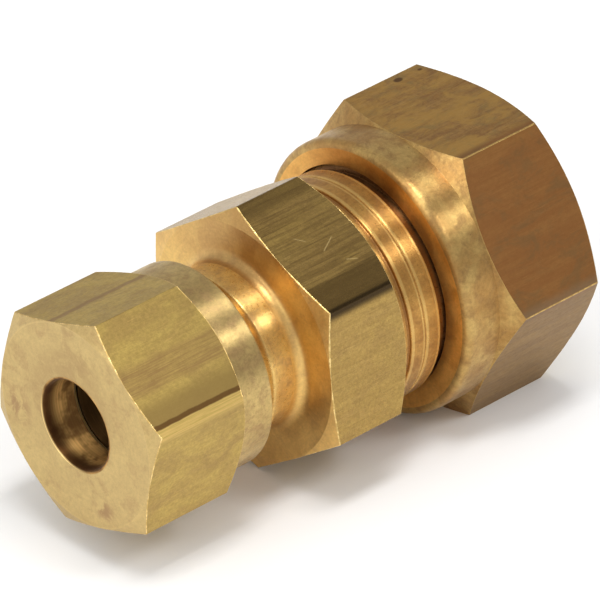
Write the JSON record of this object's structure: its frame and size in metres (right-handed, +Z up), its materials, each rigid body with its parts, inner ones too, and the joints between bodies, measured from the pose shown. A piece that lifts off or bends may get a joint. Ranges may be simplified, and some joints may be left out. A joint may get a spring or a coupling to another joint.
{
  "type": "compression fitting",
  "caption": "Straight reducing compression coupling: threaded hexagon body, a screw-on hexagon nut and an olive at each end, joining two plain tubes of different size.",
  "frame": {"origin": "on the common axis of the two tubes, halfway along the assembled fitting with both nuts finger tight", "axes": "+X along the tubes towards the large end, +Z up, away from the flat of the large nut that the fitting lies on"},
  "size_m": [0.0596, 0.037, 0.032],
  "materials": {
    "body_brass": "machined from drawn hexagon bar, satin turned surfaces",
    "nut_brass": "machined from drawn hexagon bar, dull flats with light tarnish",
    "olive_brass": "bright turned soft brass"
  },
  "bodies": {
    "body": {"body": "body_brass"},
    "small_olive": {"small_olive": "olive_brass"},
    "small_nut": {"small_nut": "nut_brass"},
    "large_olive": {"large_olive": "olive_brass"},
    "large_nut": {"large_nut": "nut_brass"}
  },
  "joints": [
    {"name": "small_nut_travel", "type": "slide", "parent": "body", "child": "small_olive", "axis": [-1, 0, 0], "range_m": [0, 0.00635]},
    {"name": "small_nut_turn", "type": "hinge", "parent": "small_olive", "child": "small_nut", "pos_m": [-0.02, 0, 0], "axis": [-1, 0, 0], "range_deg": [0, 1440.1]},
    {"name": "large_nut_travel", "type": "slide", "parent": "body", "child": "large_olive", "axis": [1, 0, 0], "range_m": [0, 0.00544]},
    {"name": "large_nut_turn", "type": "hinge", "parent": "large_olive", "child": "large_nut", "pos_m": [0.02, 0, 0], "axis": [1, 0, 0], "range_deg": [0, 1080.1]}
  ],
  "couplings": [
    {"joint": "small_nut_turn", "follows": "small_nut_travel", "rad_per_m": 3957.9},
    {"joint": "large_nut_turn", "follows": "large_nut_travel", "rad_per_m": 3463.7}
  ]
}
